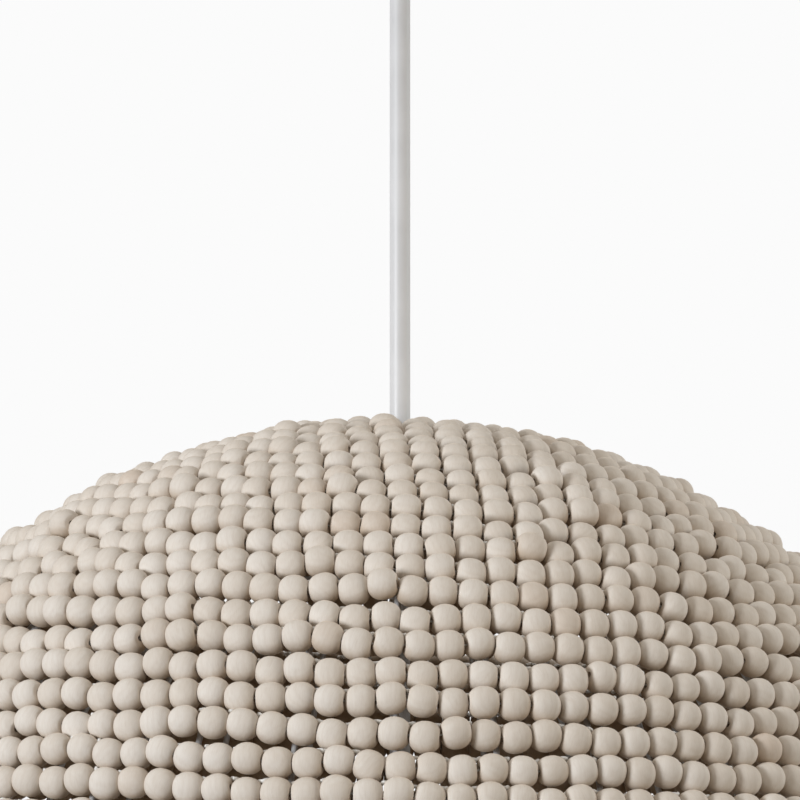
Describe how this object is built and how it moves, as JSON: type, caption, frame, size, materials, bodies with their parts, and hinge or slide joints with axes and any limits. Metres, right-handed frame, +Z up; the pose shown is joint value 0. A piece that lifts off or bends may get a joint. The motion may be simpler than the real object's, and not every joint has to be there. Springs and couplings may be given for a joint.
{
  "type": "beaded chandelier",
  "caption": "Domed pendant light of strung wooden beads on a white wire frame, hung on a white stem from a swivel under a round ceiling canopy.",
  "frame": {"origin": "on the ceiling, at the middle of the bracket's flat upper face", "axes": "+Z up towards the ceiling, +X along the ceiling bracket and the swivel's pivot, +Y away from the picture's camera"},
  "size_m": [0.6498, 0.65, 0.6317],
  "materials": {
    "bead_wood": "bare, lightly whitened wood, matte",
    "white_coat": "smooth white powder coat, satin",
    "zinc_steel": "zinc plated",
    "white_plastic": "moulded, satin",
    "cable_sheath": "smooth sheath",
    "nickel_cap": "nickel plated, rolled thread",
    "opal_glass": "opal, softly frosted",
    "lashing_thread": "white twisted thread"
  },
  "bodies": {
    "ceiling_fitting": {"ceiling_bracket": "zinc_steel", "ceiling_nipple": "zinc_steel", "canopy": "white_coat", "canopy_screw_left": "white_coat", "canopy_screw_right": "white_coat", "canopy_nut": "white_coat", "ceiling_cable": "cable_sheath", "terminal_block": "white_plastic"},
    "swivel": {"swivel_yoke": "white_coat", "pivot_screw_left": "zinc_steel", "pivot_screw_right": "zinc_steel"},
    "shade": {"swivel_knuckle": "white_coat", "stem_tube": "white_coat", "stem_cable": "cable_sheath", "hub_washer": "white_coat", "hub_nut_upper": "white_coat", "hub_nut_lower": "zinc_steel", "wire_frame": "white_coat", "bead_strand_01": "bead_wood", "bead_strand_02": "bead_wood", "bead_strand_03": "bead_wood", "bead_strand_04": "bead_wood", "bead_strand_05": "bead_wood", "bead_strand_06": "bead_wood", "bead_strand_07": "bead_wood", "bead_strand_08": "bead_wood", "bead_strand_09": "bead_wood", "bead_strand_10": "bead_wood", "bead_strand_11": "bead_wood", "bead_strand_12": "bead_wood", "bead_strand_13": "bead_wood", "bead_strand_14": "bead_wood", "bead_strand_15": "bead_wood", "bead_strand_16": "bead_wood", "bead_strand_17": "bead_wood", "bead_strand_18": "bead_wood", "bead_strand_19": "bead_wood", "bead_strand_20": "bead_wood", "bead_strand_21": "bead_wood", "bead_strand_22": "bead_wood", "bead_strand_23": "bead_wood", "bead_strand_24": "bead_wood", "bead_strand_25": "bead_wood", "bead_strand_26": "bead_wood", "bead_strand_27": "bead_wood", "bead_strand_28": "bead_wood", "bead_strand_29": "bead_wood", "cluster_body": "white_coat", "lamp_holder_1": "white_plastic", "lamp_holder_2": "white_plastic", "lamp_holder_3": "white_plastic", "holder_ring_1": "white_plastic", "holder_ring_2": "white_plastic", "holder_ring_3": "white_plastic"},
    "bulb_1": {"bulb_cap_1": "nickel_cap", "bulb_glass_1": "opal_glass"},
    "bulb_2": {"bulb_cap_2": "nickel_cap", "bulb_glass_2": "opal_glass"},
    "bulb_3": {"bulb_cap_3": "nickel_cap", "bulb_glass_3": "opal_glass"}
  },
  "joints": [
    {"name": "swivel_turn", "type": "hinge", "parent": "ceiling_fitting", "child": "swivel", "pos_m": [0, 0, -0.045], "axis": [0, 0, 1], "range_deg": [-170, 170]},
    {"name": "stem_tilt", "type": "hinge", "parent": "swivel", "child": "shade", "pos_m": [0, 0, -0.0551], "axis": [1, 0, 0], "range_deg": [-20, 20]},
    {"name": "bulb_1_unscrew", "type": "hinge", "parent": "shade", "child": "bulb_1", "pos_m": [0, 0, -0.50463], "axis": [0.75, 0.433, -0.5], "range_deg": [0, 900]},
    {"name": "bulb_2_unscrew", "type": "hinge", "parent": "shade", "child": "bulb_2", "pos_m": [0, 0, -0.50463], "axis": [-0.75, 0.433, -0.5], "range_deg": [0, 900]},
    {"name": "bulb_3_unscrew", "type": "hinge", "parent": "shade", "child": "bulb_3", "pos_m": [0, 0, -0.50463], "axis": [0, -0.866, -0.5], "range_deg": [0, 900]}
  ]
}
